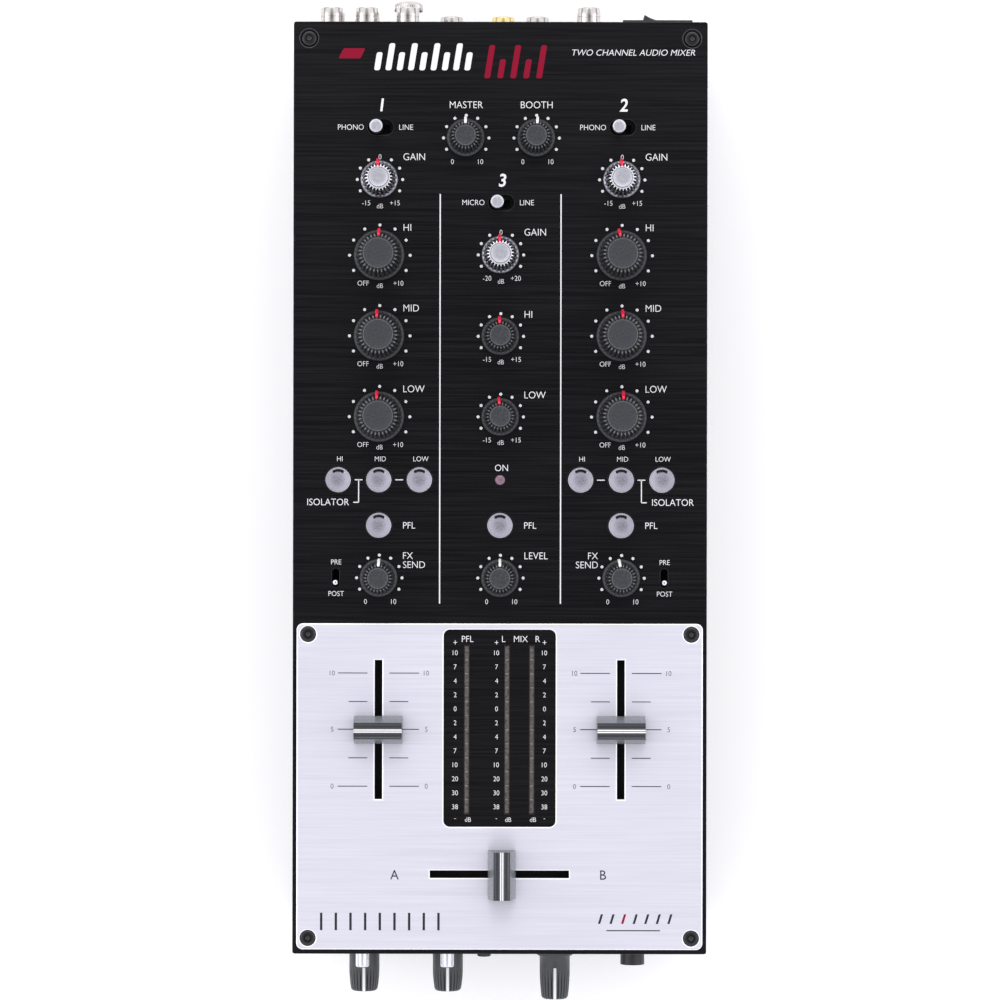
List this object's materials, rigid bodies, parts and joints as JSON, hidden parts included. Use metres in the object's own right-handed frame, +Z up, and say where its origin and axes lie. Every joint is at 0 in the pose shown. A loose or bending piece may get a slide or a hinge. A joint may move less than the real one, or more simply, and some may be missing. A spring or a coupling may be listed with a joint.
{
  "type": "dj mixer",
  "caption": "Compact DJ mixer: flat steel case with brushed black panel and silver fader plate, knobs, faders, push buttons, level meter and rear sockets.",
  "frame": {"origin": "on the plane that the feet stand on, under the middle of the case", "axes": "+Z up, +Y towards the rear panel with the sockets, +X to the right seen from the front"},
  "size_m": [0.147, 0.3633, 0.0985],
  "materials": {
    "case_paint": "satin black paint on folded steel",
    "panel_black": "brushed, black anodised look with white print",
    "plate_silver": "brushed, satin silver with dark print",
    "screw_black": "black oxide",
    "screw_steel": "zinc plated",
    "foot_rubber": "matt black rubber",
    "circuit_board": "green solder resist",
    "spacer_brass": "nickel plated brass",
    "zinc_steel": "zinc plated steel",
    "switch_plastic": "black moulded plastic",
    "meter_lens": "unlit translucent light segments",
    "power_lens": "unlit translucent lens",
    "socket_chrome": "bright nickel",
    "insulator_plastic": "moulded socket insulators",
    "inlet_plastic": "black moulded plastic",
    "socket_black": "black moulded plastic",
    "dark_knob": "dark grey soft-touch plastic",
    "silver_knob": "metallised plastic",
    "turned_metal": "turned and bright",
    "button_metal": "satin, slightly dished",
    "black_button": "black plastic",
    "fader_cap": "glossy dark grey with a white line",
    "rocker_plastic": "black plastic",
    "ground_metal": "bright nickel, knurled"
  },
  "bodies": {
    "chassis": {"bottom_case": "case_paint", "top_panel": "panel_black", "fader_plate": "plate_silver", "panel_screws": "screw_black", "case_screws": "screw_steel", "feet": "foot_rubber", "circuit_boards": "circuit_board", "board_spacers": "spacer_brass", "potentiometers": "zinc_steel", "fader_bodies": "zinc_steel", "push_switches": "switch_plastic", "slide_switches": "zinc_steel", "meter_lights": "meter_lens", "power_light": "power_lens", "rca_sockets": "socket_chrome", "rca_insulators": "insulator_plastic", "power_inlet": "inlet_plastic", "transformer": "zinc_steel", "jack_sockets": "socket_black"},
    "master_knob": {"master_knob": "dark_knob"},
    "booth_knob": {"booth_knob": "dark_knob"},
    "gain_knob_1": {"gain_knob_1": "silver_knob"},
    "gain_knob_2": {"gain_knob_2": "silver_knob"},
    "gain_knob_3": {"gain_knob_3": "silver_knob"},
    "high_knob_1": {"high_knob_1": "dark_knob"},
    "high_knob_2": {"high_knob_2": "dark_knob"},
    "high_knob_3": {"high_knob_3": "dark_knob"},
    "mid_knob_1": {"mid_knob_1": "dark_knob"},
    "mid_knob_2": {"mid_knob_2": "dark_knob"},
    "low_knob_1": {"low_knob_1": "dark_knob"},
    "low_knob_2": {"low_knob_2": "dark_knob"},
    "low_knob_3": {"low_knob_3": "dark_knob"},
    "send_knob_1": {"send_knob_1": "dark_knob"},
    "send_knob_2": {"send_knob_2": "dark_knob"},
    "level_knob_3": {"level_knob_3": "dark_knob"},
    "front_knob_left": {"front_knob_left": "dark_knob"},
    "front_knob_middle": {"front_knob_middle": "dark_knob"},
    "phones_knob": {"phones_knob": "dark_knob"},
    "power_rocker": {"power_rocker": "rocker_plastic"},
    "ground_screw": {"ground_screw": "ground_metal"},
    "source_lever_1": {"source_lever_1": "turned_metal"},
    "source_lever_2": {"source_lever_2": "turned_metal"},
    "source_lever_3": {"source_lever_3": "turned_metal"},
    "front_lever_left": {"front_lever_left": "turned_metal"},
    "front_lever_middle": {"front_lever_middle": "turned_metal"},
    "pre_post_lever_1": {"pre_post_lever_1": "turned_metal"},
    "pre_post_lever_2": {"pre_post_lever_2": "turned_metal"},
    "high_button_1": {"high_button_1": "button_metal"},
    "mid_button_1": {"mid_button_1": "button_metal"},
    "low_button_1": {"low_button_1": "button_metal"},
    "high_button_2": {"high_button_2": "button_metal"},
    "mid_button_2": {"mid_button_2": "button_metal"},
    "low_button_2": {"low_button_2": "button_metal"},
    "cue_button_1": {"cue_button_1": "button_metal"},
    "cue_button_2": {"cue_button_2": "button_metal"},
    "cue_button_3": {"cue_button_3": "button_metal"},
    "front_button": {"front_button": "black_button"},
    "channel_fader_1": {"channel_fader_1": "fader_cap"},
    "channel_fader_2": {"channel_fader_2": "fader_cap"},
    "crossfader": {"crossfader": "fader_cap"}
  },
  "joints": [
    {"name": "master_knob_turn", "type": "hinge", "parent": "chassis", "child": "master_knob", "pos_m": [-0.0124, 0.1242, 0.084], "axis": [0, 0, 1], "range_deg": [-150, 150]},
    {"name": "booth_knob_turn", "type": "hinge", "parent": "chassis", "child": "booth_knob", "pos_m": [0.0126, 0.1242, 0.084], "axis": [0, 0, 1], "range_deg": [-146, 154]},
    {"name": "gain_knob_1_turn", "type": "hinge", "parent": "chassis", "child": "gain_knob_1", "pos_m": [-0.043, 0.1094, 0.084], "axis": [0, 0, 1], "range_deg": [-154, 146]},
    {"name": "gain_knob_2_turn", "type": "hinge", "parent": "chassis", "child": "gain_knob_2", "pos_m": [0.043, 0.1094, 0.084], "axis": [0, 0, 1], "range_deg": [-153, 147]},
    {"name": "gain_knob_3_turn", "type": "hinge", "parent": "chassis", "child": "gain_knob_3", "pos_m": [0, 0.0827, 0.084], "axis": [0, 0, 1], "range_deg": [-153, 147]},
    {"name": "high_knob_1_turn", "type": "hinge", "parent": "chassis", "child": "high_knob_1", "pos_m": [-0.043, 0.0825, 0.084], "axis": [0, 0, 1], "range_deg": [-149, 151]},
    {"name": "high_knob_2_turn", "type": "hinge", "parent": "chassis", "child": "high_knob_2", "pos_m": [0.043, 0.0825, 0.084], "axis": [0, 0, 1], "range_deg": [-158, 142]},
    {"name": "high_knob_3_turn", "type": "hinge", "parent": "chassis", "child": "high_knob_3", "pos_m": [0, 0.0538, 0.084], "axis": [0, 0, 1], "range_deg": [-153, 147]},
    {"name": "mid_knob_1_turn", "type": "hinge", "parent": "chassis", "child": "mid_knob_1", "pos_m": [-0.043, 0.0539, 0.084], "axis": [0, 0, 1], "range_deg": [-154, 146]},
    {"name": "mid_knob_2_turn", "type": "hinge", "parent": "chassis", "child": "mid_knob_2", "pos_m": [0.043, 0.0539, 0.084], "axis": [0, 0, 1], "range_deg": [-149, 151]},
    {"name": "low_knob_1_turn", "type": "hinge", "parent": "chassis", "child": "low_knob_1", "pos_m": [-0.043, 0.0252, 0.084], "axis": [0, 0, 1], "range_deg": [-154, 146]},
    {"name": "low_knob_2_turn", "type": "hinge", "parent": "chassis", "child": "low_knob_2", "pos_m": [0.043, 0.0252, 0.084], "axis": [0, 0, 1], "range_deg": [-147, 153]},
    {"name": "low_knob_3_turn", "type": "hinge", "parent": "chassis", "child": "low_knob_3", "pos_m": [0, 0.0252, 0.084], "axis": [0, 0, 1], "range_deg": [-154, 146]},
    {"name": "send_knob_1_turn", "type": "hinge", "parent": "chassis", "child": "send_knob_1", "pos_m": [-0.043, -0.032, 0.084], "axis": [0, 0, 1], "range_deg": [-148, 152]},
    {"name": "send_knob_2_turn", "type": "hinge", "parent": "chassis", "child": "send_knob_2", "pos_m": [0.043, -0.032, 0.084], "axis": [0, 0, 1], "range_deg": [-158, 142]},
    {"name": "level_knob_3_turn", "type": "hinge", "parent": "chassis", "child": "level_knob_3", "pos_m": [0, -0.032, 0.084], "axis": [0, 0, 1], "range_deg": [-150, 150]},
    {"name": "front_knob_left_turn", "type": "hinge", "parent": "chassis", "child": "front_knob_left", "pos_m": [-0.0488, -0.1655, 0.057], "axis": [0, -1, 0], "range_deg": [-150, 150]},
    {"name": "front_knob_middle_turn", "type": "hinge", "parent": "chassis", "child": "front_knob_middle", "pos_m": [-0.0186, -0.1655, 0.057], "axis": [0, -1, 0], "range_deg": [-150, 150]},
    {"name": "phones_knob_turn", "type": "hinge", "parent": "chassis", "child": "phones_knob", "pos_m": [0.0201, -0.1655, 0.057], "axis": [0, -1, 0], "range_deg": [-150, 150]},
    {"name": "power_rocker_turn", "type": "hinge", "parent": "chassis", "child": "power_rocker", "pos_m": [0.0564, 0.166, 0.0575], "axis": [0, 0, 1], "range_deg": [0, 20]},
    {"name": "ground_screw_turn", "type": "hinge", "parent": "chassis", "child": "ground_screw", "pos_m": [-0.0338, 0.1655, 0.0375], "axis": [0, 1, 0], "range_deg": [0, 900]},
    {"name": "source_lever_1_slide", "type": "slide", "parent": "chassis", "child": "source_lever_1", "axis": [1, 0, 0], "range_m": [0, 0.0029]},
    {"name": "source_lever_2_slide", "type": "slide", "parent": "chassis", "child": "source_lever_2", "axis": [1, 0, 0], "range_m": [0, 0.0029]},
    {"name": "source_lever_3_slide", "type": "slide", "parent": "chassis", "child": "source_lever_3", "axis": [1, 0, 0], "range_m": [0, 0.0029]},
    {"name": "front_lever_left_slide", "type": "slide", "parent": "chassis", "child": "front_lever_left", "axis": [1, 0, 0], "range_m": [0, 0.0029]},
    {"name": "front_lever_middle_slide", "type": "slide", "parent": "chassis", "child": "front_lever_middle", "axis": [1, 0, 0], "range_m": [0, 0.0029]},
    {"name": "pre_post_lever_1_slide", "type": "slide", "parent": "chassis", "child": "pre_post_lever_1", "axis": [0, 1, 0], "range_m": [0, 0.0032]},
    {"name": "pre_post_lever_2_slide", "type": "slide", "parent": "chassis", "child": "pre_post_lever_2", "axis": [0, 1, 0], "range_m": [0, 0.0032]},
    {"name": "high_button_1_slide", "type": "slide", "parent": "chassis", "child": "high_button_1", "axis": [0, 0, 1], "range_m": [-0.0015, 0], "stiffness_N_per_m": 300, "springref_m": 0.001},
    {"name": "mid_button_1_slide", "type": "slide", "parent": "chassis", "child": "mid_button_1", "axis": [0, 0, 1], "range_m": [-0.0015, 0], "stiffness_N_per_m": 300, "springref_m": 0.001},
    {"name": "low_button_1_slide", "type": "slide", "parent": "chassis", "child": "low_button_1", "axis": [0, 0, 1], "range_m": [-0.0015, 0], "stiffness_N_per_m": 300, "springref_m": 0.001},
    {"name": "high_button_2_slide", "type": "slide", "parent": "chassis", "child": "high_button_2", "axis": [0, 0, 1], "range_m": [-0.0015, 0], "stiffness_N_per_m": 300, "springref_m": 0.001},
    {"name": "mid_button_2_slide", "type": "slide", "parent": "chassis", "child": "mid_button_2", "axis": [0, 0, 1], "range_m": [-0.0015, 0], "stiffness_N_per_m": 300, "springref_m": 0.001},
    {"name": "low_button_2_slide", "type": "slide", "parent": "chassis", "child": "low_button_2", "axis": [0, 0, 1], "range_m": [-0.0015, 0], "stiffness_N_per_m": 300, "springref_m": 0.001},
    {"name": "cue_button_1_slide", "type": "slide", "parent": "chassis", "child": "cue_button_1", "axis": [0, 0, 1], "range_m": [-0.0015, 0], "stiffness_N_per_m": 300, "springref_m": 0.001},
    {"name": "cue_button_2_slide", "type": "slide", "parent": "chassis", "child": "cue_button_2", "axis": [0, 0, 1], "range_m": [-0.0015, 0], "stiffness_N_per_m": 300, "springref_m": 0.001},
    {"name": "cue_button_3_slide", "type": "slide", "parent": "chassis", "child": "cue_button_3", "axis": [0, 0, 1], "range_m": [-0.0015, 0], "stiffness_N_per_m": 300, "springref_m": 0.001},
    {"name": "front_button_slide", "type": "slide", "parent": "chassis", "child": "front_button", "axis": [0, -1, 0], "range_m": [-0.0015, 0], "stiffness_N_per_m": 300, "springref_m": 0.001},
    {"name": "channel_fader_1_slide", "type": "slide", "parent": "chassis", "child": "channel_fader_1", "axis": [0, 1, 0], "range_m": [-0.0225, 0.0225]},
    {"name": "channel_fader_2_slide", "type": "slide", "parent": "chassis", "child": "channel_fader_2", "axis": [0, 1, 0], "range_m": [-0.0225, 0.0225]},
    {"name": "crossfader_slide", "type": "slide", "parent": "chassis", "child": "crossfader", "axis": [1, 0, 0], "range_m": [-0.02335, 0.02165]}
  ]
}
